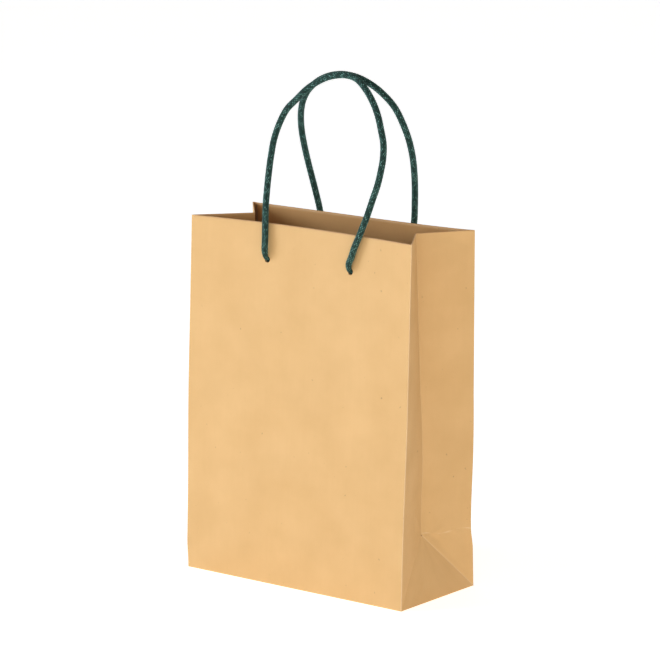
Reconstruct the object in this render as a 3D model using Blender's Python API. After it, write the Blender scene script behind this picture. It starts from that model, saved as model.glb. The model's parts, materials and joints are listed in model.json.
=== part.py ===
"""Kraft paper gift bag: a gusseted body folded from one sheet, a card base, two cord handles.

The bag stands on z = 0 with its mouth up and its plain front towards -Y. The paper is one
folded sheet in reality. It is divided here along its creases, so that each flat can turn.
"""
import bpy
import bmesh
from math import acos, cos, pi, radians, sin
from mathutils import Matrix, Vector

# Driving dimensions of the folded bag, in metres.
WIDTH = 0.180
DEPTH = 0.080
HEIGHT = 0.240
LEAN = radians(1.96)          # each big panel leans in by this much, because the mouth is pinched

# Sheet goods.
PAPER = 0.0003
CARD = 0.0006
BOARD = 0.0010
GAP = 0.0003

# Turned-in top and its reinforcement.
HEM = 0.040
CARD_HEIGHT = 0.034
CARD_DROP = 0.0015            # the card stops this far under the fold of the hem
HEM_SIDE = 0.004              # hems and cards stop this far from the side creases

# Side gussets.
CREASE_START = 0.0012         # a gusset sheet starts this far along it from its side crease
CREASE_CLEARANCE = 0.0012     # room at the centre crease, which the two halves need as they turn
DIAGONAL_CLEARANCE = 0.0008   # room on each side of the slanting base creases
GUSSET_FOOT = 0.006
GUSSET_ROWS = 5
HEM_ROWS = 3

# Base.
FLAP = 0.056
TUCK = 0.034
BOARD_LENGTH = 0.1764
BOARD_WIDTH = 0.0780
SEAM_FLAP = 0.014

# Cord handles, through punched holes.
CORD = 0.0045
HOLE_RADIUS = 0.0027
HOLE_DROP = 0.024             # holes sit this far under the rim
STAND_OFF = 0.003             # the cord turns up this far in front of the paper
CORD_START = 0.0027           # a loop starts this far above the centre of its bend
KNOT_RADIUS = 0.0055
TAIL = 0.012
FRONT_HOLES = (-0.031, 0.038)
BACK_HOLES = (-0.034, 0.038)
CORD_POINTS = 60

FRONT, BACK = -1, 1
LEFT, RIGHT = -1, 1
HALF_DEPTH = DEPTH / 2

# How far the middle of each rim has sunk in. The front panel is curved, and the back one is flat.
BOW = {FRONT: 0.0085, BACK: 0.0}
PANEL_COLUMNS = 13
PANEL_ROWS = 7

# Heights of the layers of the folded base.
BACK_FLAP_Z = PAPER + GAP
TUCK_Z = 2 * (PAPER + GAP)
BOARD_Z = 3 * (PAPER + GAP)

# The handles' centrelines in millimetres, from the left hole over the top to the right hole.
FRONT_ROUTE = [
    (-31, -29.3, 222), (-31.2, -28.7, 229), (-32.2, -27.1, 239.5), (-33.8, -24.5, 251.5),
    (-34.8, -21.8, 262), (-35.4, -19.2, 272.5), (-35.6, -16.6, 283), (-35.1, -14, 293.5),
    (-32.8, -11.4, 303.5), (-28.6, -9, 313), (-22, -7.2, 320), (-14, -5.3, 327.8),
    (-5, -3.9, 333.6), (4, -3, 337.2), (14.8, -2.7, 338.8), (24.5, -3.1, 337.2),
    (33.2, -4.6, 331.3), (40.5, -6.5, 323.8), (46, -8.5, 316), (50.6, -11, 307),
    (54.2, -13.3, 298.8), (55.8, -15.8, 290), (55.7, -18, 281.8), (54.8, -20.3, 273),
    (52.6, -22.4, 264), (50, -25, 253), (46.6, -28.2, 241), (43, -29, 232.5),
    (40.7, -29.2, 226), (38.8, -29.5, 221.5),
]
BACK_ROUTE = [
    (-34.2, 35.6, 223), (-34.7, 35.4, 231), (-35.5, 34.9, 240), (-36.3, 32, 251),
    (-36.8, 28.4, 262), (-37.2, 24.6, 273), (-37.3, 20.9, 284), (-36.8, 17.2, 295.5),
    (-34.6, 13.6, 306.5), (-30.5, 10.5, 316), (-24, 7.7, 324), (-15.5, 5.5, 330.5),
    (-6.5, 4.2, 335), (3, 3.4, 337.6), (12, 2.8, 338.3), (22, 3.3, 336.8), (32, 4.8, 332.5),
    (40, 7.2, 326.2), (46.2, 9.8, 318.5), (50, 13, 308.5), (52.2, 16.4, 298), (52.6, 19.8, 287.5),
    (51.6, 23.2, 277), (49.6, 26.8, 266), (46.8, 30.6, 254), (43.4, 34.6, 241),
    (41, 35.4, 231), (39, 35.6, 223),
]


def new_material(name, colour, roughness):
    material = bpy.data.materials.new(name)
    material.use_nodes = True
    shader = material.node_tree.nodes["Principled BSDF"]
    shader.inputs["Base Color"].default_value = (*colour, 1.0)
    shader.inputs["Roughness"].default_value = roughness
    shader.inputs["Metallic"].default_value = 0.0
    return material


def new_pivot(name, place, parent=None):
    """An empty on a joint's axis, which the pieces of one moving body are parented to."""
    pivot = bpy.data.objects.new(name, None)
    bpy.context.collection.objects.link(pivot)
    origin = Vector((0, 0, 0))
    if parent:
        pivot.parent = parent
        origin = parent["place"]
    pivot.location = Vector(place) - Vector(origin)
    pivot["place"] = tuple(place)
    return pivot


def new_object(name, mesh_builder, material, pivot=None):
    """Link a finished bmesh, drawn in world coordinates, as a piece of the pivot's body."""
    if pivot:
        bmesh.ops.translate(mesh_builder, vec=-Vector(pivot["place"]), verts=mesh_builder.verts)
    bmesh.ops.recalc_face_normals(mesh_builder, faces=mesh_builder.faces)
    mesh = bpy.data.meshes.new(name)
    mesh_builder.to_mesh(mesh)
    mesh_builder.free()
    mesh.materials.append(material)
    piece = bpy.data.objects.new(name, mesh)
    bpy.context.collection.objects.link(piece)
    piece.parent = pivot
    return piece


def loft(rows_outside, rows_inside):
    """A closed sheet between two matching grids of points, one for each face of the sheet."""
    builder = bmesh.new()
    sides = [[[builder.verts.new(p) for p in row] for row in rows]
             for rows in (rows_outside, rows_inside)]
    outside, inside = sides
    last_row = len(outside) - 1
    last_column = len(outside[0]) - 1
    for row in range(last_row):
        for column in range(last_column):
            for grid in sides:
                builder.faces.new((grid[row][column], grid[row][column + 1],
                                   grid[row + 1][column + 1], grid[row + 1][column]))
    for row in range(last_row):
        for column in (0, last_column):
            builder.faces.new((outside[row][column], outside[row + 1][column],
                               inside[row + 1][column], inside[row][column]))
    for column in range(last_column):
        for row in (0, last_row):
            builder.faces.new((outside[row][column], outside[row][column + 1],
                               inside[row][column + 1], inside[row][column]))
    bmesh.ops.recalc_face_normals(builder, faces=builder.faces)
    return builder


def plate(outline, place, first_depth, last_depth):
    """A flat sheet: an outline of flat points, set in space by place(a, b, depth)."""
    builder = bmesh.new()
    rings = [[builder.verts.new(place(a, b, depth)) for a, b in outline]
             for depth in (first_depth, last_depth)]
    for ring in rings:
        builder.faces.new(ring)
    for index in range(len(outline)):
        following = (index + 1) % len(outline)
        builder.faces.new((rings[0][index], rings[0][following],
                           rings[1][following], rings[1][index]))
    return builder


def panel_place(side):
    """Places points on a big panel, from x, the way up the panel and the depth inwards."""
    up = Vector((0, -side * sin(LEAN), cos(LEAN)))
    inward = Vector((0, -side * cos(LEAN), -sin(LEAN)))
    foot = Vector((0, side * HALF_DEPTH, 0))

    def place(x, height, depth):
        sunk = BOW[side] * (1 - (2 * x / WIDTH) ** 2) * (height / HEIGHT) ** 2
        return foot + Vector((x, 0, 0)) + up * height + inward * (depth + sunk)
    return place


def panel_sheet(side, low_x, high_x, low, high, depth, thickness):
    """A sheet that follows a big panel at a depth behind its outer face."""
    place = panel_place(side)
    ways = spaced(low_x, high_x, PANEL_COLUMNS)
    heights = spaced(low, high, PANEL_ROWS)
    faces = [[[place(x, height, face) for x in ways] for height in heights]
             for face in (depth, depth + thickness)]
    return loft(*faces)


def gusset_fold(height):
    """How far a half gusset is folded in, so that the two halves meet in the middle plane."""
    folded_height = max(height, HALF_DEPTH)
    return acos(1 - folded_height * sin(LEAN) / HALF_DEPTH)


def gusset_place(hand, side):
    """Places points on a half gusset, from the way across it, the height and the depth."""
    panel = panel_place(side)
    panel_inward = panel(0, 0, 1) - panel(0, 0, 0)
    bag_inward = Vector((-hand, 0, 0))

    def place(across, height, depth):
        fold = gusset_fold(height)
        along = panel_inward * cos(fold) + bag_inward * sin(fold)
        inward = bag_inward * cos(fold) - panel_inward * sin(fold)
        return panel(hand * WIDTH / 2, height, 0) + along * across + inward * depth
    return place


def base_triangle_place(hand):
    """Places points on the triangle that stands on a short side of the base and leans in."""
    tilt = gusset_fold(HALF_DEPTH)

    def place(y, height, depth):
        x = WIDTH / 2 - height * sin(tilt) - depth * cos(tilt)
        return Vector((hand * x, y, height * cos(tilt) - depth * sin(tilt)))
    return place


def level_place(x, y, depth):
    return Vector((x, y, depth))


def gusset_sheet(hand, side, heights, inner_depth, margin):
    """One half gusset between its side crease and its centre crease, over a list of heights."""
    place = gusset_place(hand, side)
    outside = []
    inside = []
    for height in heights:
        start = CREASE_START + margin
        end = min(height - DIAGONAL_CLEARANCE, HALF_DEPTH - CREASE_CLEARANCE) - margin
        ways = [start, (start + end) / 2, end]
        outside.append([place(way, height, inner_depth) for way in ways])
        inside.append([place(way, height, inner_depth + PAPER) for way in ways])
    return loft(outside, inside)


def spaced(first, last, count):
    return [first + (last - first) * index / (count - 1) for index in range(count)]


def punch(piece, side, holes, radius):
    """Punch the cord holes through a sheet with round cutters that stand square to the panel."""
    place = panel_place(side)
    inward = place(0, 0, 1) - place(0, 0, 0)
    for number, x in enumerate(holes):
        builder = bmesh.new()
        bmesh.ops.create_cone(builder, cap_ends=True, segments=20, radius1=radius,
                              radius2=radius, depth=8 * CARD)
        turn = Vector((0, 0, 1)).rotation_difference(inward).to_matrix().to_4x4()
        centre = place(x, HEIGHT - HOLE_DROP, 2 * CARD)
        bmesh.ops.transform(builder, matrix=Matrix.Translation(centre) @ turn,
                            verts=builder.verts)
        cutter = new_object(f"{piece.name}_cutter_{number}", builder, piece.data.materials[0],
                            piece.parent)
        cutter.hide_render = True
        cutter.display_type = "WIRE"
        cut = piece.modifiers.new(f"hole_{number}", "BOOLEAN")
        cut.operation = "DIFFERENCE"
        cut.object = cutter


def rectangle(low_a, high_a, low_b, high_b):
    return [(low_a, low_b), (high_a, low_b), (high_a, high_b), (low_a, high_b)]


def smooth_path(points, count):
    """Points at even parameter steps on a Catmull-Rom curve through the given points."""
    ends = [points[0] * 2 - points[1]] + points + [points[-1] * 2 - points[-2]]
    path = []
    for step in range(count):
        where = step * (len(points) - 1) / (count - 1)
        index = min(int(where), len(points) - 2)
        t = where - index
        a, b, c, d = ends[index:index + 4]
        path.append(0.5 * (2 * b + (c - a) * t + (2 * a - 5 * b + 4 * c - d) * t ** 2
                           + (3 * b - a - 3 * c + d) * t ** 3))
    return path


def handle_axis(side, holes):
    """The middle of the line that a handle turns about: its two bends, in front of the holes."""
    place = panel_place(side)
    bends = [place(x, HEIGHT - HOLE_DROP, -STAND_OFF) for x in holes]
    return (bends[0] + bends[1]) / 2


def cord_bend(side, holes, x):
    """The centre of a cord's bend: where it turns up in front of the hole at x."""
    axis = handle_axis(side, holes)
    return Vector((x, axis.y, axis.z))


def build_cord(name, side, holes, route, material, pivot):
    """One handle loop: a round tube from just above one bend to just above the other."""
    up = Vector((0, 0, CORD_START))
    points = [cord_bend(side, holes, holes[0]) + up]
    points += [Vector(point) / 1000 for point in route]
    points += [cord_bend(side, holes, holes[1]) + up]
    curve = bpy.data.curves.new(name, "CURVE")
    curve.dimensions = "3D"
    curve.bevel_depth = CORD / 2
    curve.bevel_resolution = 2
    curve.use_fill_caps = True
    path = smooth_path(points, CORD_POINTS)
    spline = curve.splines.new("POLY")
    spline.points.add(len(path) - 1)
    for point, place in zip(spline.points, path):
        point.co = (*(place - Vector(pivot["place"])), 1.0)
    curve.materials.append(material)
    cord = bpy.data.objects.new(name, curve)
    bpy.context.collection.objects.link(cord)
    cord.parent = pivot


def build_knot(name, side, holes, x, material, pivot):
    """The fixed end of a cord: its bend outside, the run through the hole, a knot and a tail."""
    place = panel_place(side)
    hole_height = HEIGHT - HOLE_DROP
    radius = CORD / 2
    depth_knot = 3 * PAPER + 2 * GAP + CARD + KNOT_RADIUS
    inward = place(0, 0, 1) - place(0, 0, 0)
    turn = Vector((0, 0, 1)).rotation_difference(inward).to_matrix()
    depth_bend = (cord_bend(side, holes, x) - place(x, hole_height, 0)).dot(inward)
    builder = bmesh.new()
    # The outline is turned about the hole's axis, from the round outer end to the knot.
    outline = []
    for step in range(7):
        angle = pi / 2 * step / 6
        outline.append((depth_bend - radius * cos(angle), radius * sin(angle)))
    waist = depth_knot - KNOT_RADIUS + GAP
    for step in range(1, 10):
        angle = pi * step / 9
        grow = (1 - cos(angle)) / 2
        outline.append((waist + grow * 2 * KNOT_RADIUS, max(radius, KNOT_RADIUS * sin(angle))))
    outline[-1] = (outline[-1][0], radius)
    outline.insert(7, (waist, radius))
    sides = 16
    rings = []
    for depth, width in outline[1:]:
        ring = []
        for index in range(sides):
            angle = 2 * pi * index / sides
            local = Vector((width * cos(angle), width * sin(angle), depth))
            ring.append(builder.verts.new(place(x, hole_height, 0) + turn @ local))
        rings.append(ring)
    for lower, upper in zip(rings, rings[1:]):
        for index in range(sides):
            following = (index + 1) % sides
            builder.faces.new((lower[index], lower[following], upper[following], upper[index]))
    tip = builder.verts.new(place(x, hole_height, outline[0][0]))
    for index in range(sides):
        builder.faces.new((tip, rings[0][index], rings[0][(index + 1) % sides]))
    builder.faces.new(rings[-1])
    knot = new_object(name, builder, material, pivot)

    # The cut tail hangs down from the knot.
    builder = bmesh.new()
    bmesh.ops.create_cone(builder, cap_ends=True, segments=12, radius1=radius, radius2=radius,
                          depth=KNOT_RADIUS + TAIL)
    centre = place(x, hole_height, waist + KNOT_RADIUS) - Vector((0, 0, (KNOT_RADIUS + TAIL) / 2))
    bmesh.ops.translate(builder, vec=centre, verts=builder.verts)
    tail = new_object(f"{name}_tail_guide", builder, material, pivot)
    tail.hide_render = True
    tail.display_type = "WIRE"
    join = knot.modifiers.new("tail", "BOOLEAN")
    join.operation = "UNION"
    join.object = tail


def build_panel(name, side, low, high, pivot, material):
    """A stretch of a big outer panel between two heights."""
    sheet = panel_sheet(side, -WIDTH / 2, WIDTH / 2, low, high, 0, PAPER)
    return new_object(name, sheet, material, pivot)


def build_top(side, title, holes, pivot, paper, card):
    """The turned-in top of a big panel: the card against the paper and the hem over it."""
    half = WIDTH / 2 - HEM_SIDE
    card_depth = PAPER + GAP
    card_top = HEIGHT - CARD_DROP
    card_sheet = panel_sheet(side, -half, half, card_top - CARD_HEIGHT, card_top, card_depth, CARD)
    hem_depth = card_depth + CARD + GAP
    hem_sheet = panel_sheet(side, -half, half, HEIGHT - HEM, HEIGHT, hem_depth, PAPER)
    for name, sheet, material in ((f"{title}_card", card_sheet, card),
                                  (f"{title}_hem", hem_sheet, paper)):
        punch(new_object(name, sheet, material, pivot), side, holes, HOLE_RADIUS)


def build_gusset_half(hand, side, pivot, materials):
    """Half of a side gusset with its turned-in top. The back half also has a lower corner."""
    title = f"{'left' if hand == LEFT else 'right'}_gusset_{'front' if side == FRONT else 'back'}"
    hem_heights = spaced(HEIGHT - HEM, HEIGHT, HEM_ROWS)
    high = spaced(HALF_DEPTH, HEIGHT - HEM, GUSSET_ROWS) + hem_heights[1:]
    if side == BACK:
        corner = gusset_sheet(hand, side, [GUSSET_FOOT, HALF_DEPTH - GAP], 0, 0)
        new_object(f"{title}_corner", corner, materials["corner"], pivot)
        heights = [HALF_DEPTH + GAP] + high[1:]
    else:
        heights = [GUSSET_FOOT] + high
    new_object(title, gusset_sheet(hand, side, heights, 0, 0), materials["gusset"], pivot)
    hem = gusset_sheet(hand, side, hem_heights, PAPER + GAP, CREASE_START)
    new_object(f"{title}_hem", hem, materials["hem"], pivot)


def build_base(materials):
    """The folded base, from the outermost layer up: two flaps, two side tucks and the board."""
    half = WIDTH / 2
    front_flap = [(-half, -HALF_DEPTH), (half, -HALF_DEPTH),
                  (half - FLAP, FLAP - HALF_DEPTH), (FLAP - half, FLAP - HALF_DEPTH)]
    back_flap = [(x, -y) for x, y in front_flap]
    new_object("bottom_front_flap", plate(front_flap, level_place, 0, PAPER), materials["flap"])
    new_object("bottom_back_flap",
               plate(back_flap, level_place, BACK_FLAP_Z, BACK_FLAP_Z + PAPER),
               materials["back_flap"])
    reach = HALF_DEPTH - PAPER - 2 * GAP
    for hand, title in ((LEFT, "left"), (RIGHT, "right")):
        tuck = [(hand * half, -reach), (hand * half, reach),
                (hand * (half - TUCK), reach - TUCK), (hand * (half - TUCK), TUCK - reach)]
        new_object(f"{title}_bottom_tuck", plate(tuck, level_place, TUCK_Z, TUCK_Z + PAPER),
                   materials["tuck"])
    board = rectangle(-BOARD_LENGTH / 2, BOARD_LENGTH / 2, -BOARD_WIDTH / 2, BOARD_WIDTH / 2)
    new_object("base_board", plate(board, level_place, BOARD_Z, BOARD_Z + BOARD),
               materials["board"])


def build_base_triangle(hand, pivot, material):
    """The triangle between a short side of the base and the slanting creases of its gusset."""
    title = "left" if hand == LEFT else "right"
    foot = BOARD_Z
    top = HALF_DEPTH - 2 * DIAGONAL_CLEARANCE
    foot_half = HALF_DEPTH - foot - DIAGONAL_CLEARANCE
    top_half = HALF_DEPTH - top - DIAGONAL_CLEARANCE
    outline = [(-foot_half, foot), (foot_half, foot), (top_half, top), (-top_half, top)]
    builder = plate(outline, base_triangle_place(hand), 0, PAPER)
    new_object(f"{title}_base_triangle", builder, material, pivot)


def main():
    for old in list(bpy.data.objects):
        bpy.data.objects.remove(old)

    kraft = (0.78, 0.52, 0.27)
    kraft_shade = (0.70, 0.45, 0.22)
    inner_kraft = (0.55, 0.33, 0.14)
    card_brown = (0.42, 0.27, 0.14)
    cord_green = (0.010, 0.075, 0.055)

    front_pivot = new_pivot("front_panel_pivot", (0, -HALF_DEPTH, 0))
    back_pivot = new_pivot("back_panel_pivot", (0, HALF_DEPTH, 0))
    pivots = {FRONT: front_pivot, BACK: back_pivot}

    front = build_panel("front_panel", FRONT, BACK_FLAP_Z, HEIGHT, front_pivot,
                        new_material("front_paper", kraft, 0.75))
    punch(front, FRONT, FRONT_HOLES, HOLE_RADIUS)
    back = build_panel("back_panel", BACK, HALF_DEPTH + GAP, HEIGHT, back_pivot,
                       new_material("back_paper", kraft, 0.75))
    punch(back, BACK, BACK_HOLES, HOLE_RADIUS)
    build_panel("back_lower_panel", BACK, TUCK_Z, HALF_DEPTH - GAP, back_pivot,
                new_material("back_lower_paper", kraft, 0.75))

    for side, title, holes, route in ((FRONT, "front", FRONT_HOLES, FRONT_ROUTE),
                                      (BACK, "back", BACK_HOLES, BACK_ROUTE)):
        build_top(side, title, holes, pivots[side],
                  new_material(f"{title}_hem_paper", inner_kraft, 0.8),
                  new_material(f"{title}_card_board", card_brown, 0.9))
        for hole_name, x in zip(("left", "right"), holes):
            build_knot(f"{title}_{hole_name}_knot", side, holes, x,
                       new_material(f"{title}_{hole_name}_knot_cord", cord_green, 0.6),
                       pivots[side])
        handle_pivot = new_pivot(f"{title}_handle_pivot", handle_axis(side, holes), pivots[side])
        build_cord(f"{title}_handle_cord", side, holes, route,
                   new_material(f"{title}_handle_braid", cord_green, 0.6), handle_pivot)

    seam_edge = WIDTH / 2 - HEM_SIDE
    seam = panel_sheet(BACK, seam_edge - SEAM_FLAP, seam_edge, HALF_DEPTH,
                       HEIGHT - HEM - 2 * GAP, PAPER + GAP, PAPER)
    new_object("side_seam_flap", seam, new_material("seam_paper", inner_kraft, 0.8), back_pivot)

    for hand, hand_name in ((LEFT, "left"), (RIGHT, "right")):
        for side, side_name in ((FRONT, "front"), (BACK, "back")):
            pivot = new_pivot(f"{hand_name}_gusset_{side_name}_pivot",
                              panel_place(side)(hand * WIDTH / 2, 0, 0), pivots[side])
            materials = {
                "gusset": new_material(f"{hand_name}_{side_name}_gusset_paper", kraft_shade, 0.75),
                "corner": new_material(f"{hand_name}_{side_name}_corner_paper", kraft, 0.75),
                "hem": new_material(f"{hand_name}_{side_name}_hem_paper", inner_kraft, 0.8),
            }
            build_gusset_half(hand, side, pivot, materials)
        triangle_pivot = new_pivot(f"{hand_name}_base_triangle_pivot", (hand * WIDTH / 2, 0, 0))
        build_base_triangle(hand, triangle_pivot,
                            new_material(f"{hand_name}_triangle_paper", kraft, 0.75))

    build_base({
        "flap": new_material("front_flap_paper", kraft, 0.75),
        "back_flap": new_material("back_flap_paper", kraft_shade, 0.75),
        "tuck": new_material("tuck_paper", kraft_shade, 0.75),
        "board": new_material("base_board_card", card_brown, 0.9),
    })


main()
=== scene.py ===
"""Looks of the kraft gift bag: folded paper sheets, braided cord handles, soft studio light.

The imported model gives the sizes. The paper is drawn on surfaces that meet along its creases,
so that the panels, gussets and base read as one folded sheet.
"""

import json
from math import asin, ceil, cos, pi, radians, sin

import bmesh
import bpy
import numpy as np
from mathutils import Matrix, Vector


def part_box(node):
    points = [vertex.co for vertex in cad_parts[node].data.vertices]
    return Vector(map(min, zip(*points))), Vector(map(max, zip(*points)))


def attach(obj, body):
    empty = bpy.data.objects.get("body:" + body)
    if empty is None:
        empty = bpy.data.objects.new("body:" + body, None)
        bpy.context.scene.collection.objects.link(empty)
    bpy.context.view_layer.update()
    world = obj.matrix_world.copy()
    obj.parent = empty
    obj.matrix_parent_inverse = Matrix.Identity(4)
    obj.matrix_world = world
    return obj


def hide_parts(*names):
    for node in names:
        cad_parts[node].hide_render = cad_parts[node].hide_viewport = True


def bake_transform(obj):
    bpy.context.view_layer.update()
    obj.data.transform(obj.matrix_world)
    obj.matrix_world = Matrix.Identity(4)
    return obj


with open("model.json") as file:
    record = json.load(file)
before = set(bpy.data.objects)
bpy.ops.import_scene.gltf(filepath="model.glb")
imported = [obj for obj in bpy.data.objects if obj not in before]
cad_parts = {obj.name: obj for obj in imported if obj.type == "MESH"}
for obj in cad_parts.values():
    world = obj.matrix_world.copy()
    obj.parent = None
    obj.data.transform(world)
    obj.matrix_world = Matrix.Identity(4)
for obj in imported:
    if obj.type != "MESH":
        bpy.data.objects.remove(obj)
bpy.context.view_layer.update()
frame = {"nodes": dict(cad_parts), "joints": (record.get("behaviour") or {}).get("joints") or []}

MM = 0.001
LEFT, RIGHT = -1, 1
FRONT, BACK = -1, 1
HAND_NAME = {LEFT: "left", RIGHT: "right"}
SIDE_NAME = {FRONT: "front", BACK: "back"}
JOINTS = {joint["name"]: joint for joint in frame["joints"]}

# Sizes of the bag, read from the frame.
LEAN = asin(JOINTS["left_front_crease"]["axis"][1])
HALF_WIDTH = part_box("back_panel")[1].x
HALF_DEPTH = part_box("bottom_back_flap")[1].y
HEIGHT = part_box("back_panel")[1].z / cos(LEAN)
FOLD = HALF_DEPTH                       # height of the crease across the back
HEM_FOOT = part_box("back_hem")[0].z / cos(LEAN)
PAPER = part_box("bottom_front_flap")[1].z
BOW = {
    FRONT: (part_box("front_panel")[1].y + HALF_DEPTH - HEIGHT * sin(LEAN)) / cos(LEAN) - PAPER,
    BACK: 0.0,
}
FLAP = HALF_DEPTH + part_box("bottom_front_flap")[1].y
TUCK = HALF_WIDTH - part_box("right_bottom_tuck")[0].x
SEAM_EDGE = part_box("side_seam_flap")[1].x
SEAM_WIDTH = SEAM_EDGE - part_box("side_seam_flap")[0].x
HOLE_DROP = 24 * MM                     # holes sit this far under the rim
RIM_START = HEIGHT - 2 * MM             # the panels run straight up to here

# How far each top corner of a panel stands out of line, towards the back: left, right.
FLARE = {FRONT: (-1.2 * MM, 1.5 * MM), BACK: (-1.0 * MM, 3.2 * MM)}
FLARE_FOOT = 40 * MM                    # the flare starts at this height
FLARE_RISE = 90 * MM                    # and is complete this much higher
RIM_FLARE = 1.9 * MM                    # the back right corner stands out further at the rim:
RIM_SPREAD = 1.3 * MM                   # towards the back, and to the right
RIM_FROM = 130 * MM                     # above this height
EDGE_PINCH = 1.7 * MM                   # how far the back's edges are pushed in at the crease
PINCH_ABOVE = 55 * MM                   # the pinch dies away this far above the crease
PINCH_BELOW = 14 * MM                   # and this far below it
EDGE_SWELL = 1.3 * MM                   # how far the front left edge swells out low down
SWELL_RISE = 20 * MM                    # the swell is complete at this height
SWELL_LOSS = 0.55                       # and loses this share of itself towards the rim
SWELL_LOSS_FROM = 100 * MM              # above this height
LEFT_TUCK = 3.2 * MM                    # how much deeper the left gusset's crease is at the rim
LEFT_TUCK_FROM = 100 * MM               # this starts at this height
LEFT_TUCK_RISE = 120 * MM               # and is complete this much higher
APEX = FOLD + 1.2 * MM                  # height at which the slanting creases meet

# Folds.
FOLD_ROUND = 0.9 * MM                   # length of paper on each side that a fold takes up
HEM_OVER_CARD = 1.8 * MM                # from the outer face to the hem's face, over the card
HEM_ON_PAPER = 0.66 * MM                # the same where there is no card
EDGE_TUCK = 3.6 * MM                    # a gusset's edge runs on this far behind the panel
TUCK_FROM = 12 * MM                     # from this height up
TUCK_RISE = 40 * MM                     # and by its whole width this much higher
EDGE_TURN = 1.7 * MM                    # a triangle's slanting edges turn in this far
CARD_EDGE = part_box("front_card")[1].x
MITRE_REACH = 12 * MM                   # inner layers draw in over this length to a corner
SHARP_ANGLE = radians(38)               # edges that are bent further than this look sharp

# Unevenness of the paper.
PANEL_WAVE = 0.40 * MM
PANEL_WAVE_SIDE = 22 * MM               # the waves die away over this length to a side crease
PANEL_WAVE_FOOT = 20 * MM               # and over this height to the base
CARD_CALM = 0.85                        # the card takes away this share of them
CARD_CALM_FROM = 180 * MM               # above this height
CARD_CALM_RISE = 18 * MM
GUSSET_WAVE = 0.45 * MM
GUSSET_DENT = 0.8 * MM                  # how far the back halves are pushed in at the crease
GUSSET_DENT_REACH = 40 * MM
TRIANGLE_WAVE = 0.35 * MM
CREASE_BULGE = 0.5 * MM                 # how far the back stands out along its cross crease
CREASE_BULGE_REACH = 9 * MM

# Soft ridges in the paper: start, end, half width and height in millimetres. A gusset's are
# measured across from its side crease and up, and a triangle's along its foot and up.
GUSSET_RIDGES = {
    FRONT: [((25, 60), (39, 44), 1.5, 0.4)],
    BACK: [
        ((4, 232), (22, 236), 2.2, -0.5), ((8, 236), (30, 229), 1.6, 0.35),
        ((20, 45), (37, 38), 1.5, 0.45), ((24, 34), (38, 44), 1.3, -0.4),
        ((5, 36), (17, 42), 1.2, 0.25),
    ],
}
TRIANGLE_RIDGES = [((18, 2), (26, 14), 1.6, 0.35), ((10, 3), (15, 9), 1.2, -0.3)]

# Cords.
CORD = 4.5 * MM
CORD_DRAWN = 4.3 * MM                   # across the crowns of the braid, pulled tight
CORD_IN_KNOT = 0.86 * CORD
HOLE_SQUEEZE = 0.38                     # a hole squeezes this share off the cord's diameter
SQUEEZE_REACH = 4.0 * MM
HOLE_RADIUS = 2.1 * MM
CORD_STEP = 0.3 * MM
CORD_SIDES = 48
STRANDS = 8                             # strands that run each way round
STRAND_LEAD = 16.5 * MM                 # length of cord in which a strand goes round once
BRAID_RELIEF = 0.50 * MM
TINT_SEED = 5                           # starts the chance values that tint the crowns and pick the ones with painted glints
TINT_ROWS = 2 * STRANDS
TINT_COLUMNS = 1000                     # more than a handle has crowns along it
TINT_FIRST = 10                         # the first column in use

# Points where a handle's end goes through its hole: out of the paper, up, left, in millimetres.
HANDLE_FOOT = [(-3.4, -0.2, 0.2), (-1.0, 0.5, 0.4), (1.2, 1.6, 0.3)]

# The handles' centrelines in millimetres, from the left hole over the top to the right hole.
FRONT_ROUTE = [
    (-31, -29.3, 222), (-31.2, -28.7, 229), (-32.2, -27.1, 239.5), (-33.8, -24.5, 251.5),
    (-34.8, -21.8, 262), (-35.4, -19.2, 272.5), (-35.6, -16.6, 283), (-35.1, -14, 293.5),
    (-32.8, -11.4, 303.5), (-28.6, -9, 313), (-22, -7.2, 320), (-14, -5.3, 327.8),
    (-5, -3.9, 333.6), (4, -3, 337.2), (14.8, -2.7, 338.8), (24.5, -3.1, 337.2),
    (33.2, -4.6, 331.3), (40.5, -6.5, 323.8), (46, -8.5, 316), (50.6, -11, 307),
    (54.2, -13.3, 298.8), (55.8, -15.8, 290), (55.7, -18, 281.8), (54.8, -20.3, 273),
    (52.6, -22.4, 264), (50, -25, 253), (46.6, -28.2, 241), (43, -29, 232.5),
    (40.7, -29.2, 226), (38.8, -29.5, 221.5),
]
BACK_ROUTE = [
    (-34.2, 35.6, 223), (-34.7, 35.4, 231), (-35.5, 34.9, 240), (-36.3, 32, 251),
    (-36.8, 28.4, 262), (-37.2, 24.6, 273), (-37.3, 20.9, 284), (-36.8, 17.2, 295.5),
    (-34.6, 13.6, 306.5), (-30.5, 10.5, 316), (-24, 7.7, 324), (-15.5, 5.5, 330.5),
    (-6.5, 4.2, 335), (3, 3.4, 337.6), (12, 2.8, 338.3), (22, 3.3, 336.8), (32, 4.8, 332.5),
    (40, 7.2, 326.2), (46.2, 9.8, 318.5), (50, 13, 308.5), (52.2, 16.4, 298), (52.6, 19.8, 287.5),
    (51.6, 23.2, 277), (49.6, 26.8, 266), (46.8, 30.6, 254), (43.4, 34.6, 241),
    (41, 35.4, 231), (39, 35.6, 223),
]
ROUTES = {FRONT: FRONT_ROUTE, BACK: BACK_ROUTE}

# Camera: a long lens at the height of the bag's upper half.
CAMERA_AZIMUTH = radians(37.97)
CAMERA_ELEVATION = radians(11.89)
CAMERA_DISTANCE = 2.5547
CAMERA_LENS = 211.5
CAMERA_TARGET = Vector((0.00039, 0, 0.16796))

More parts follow.
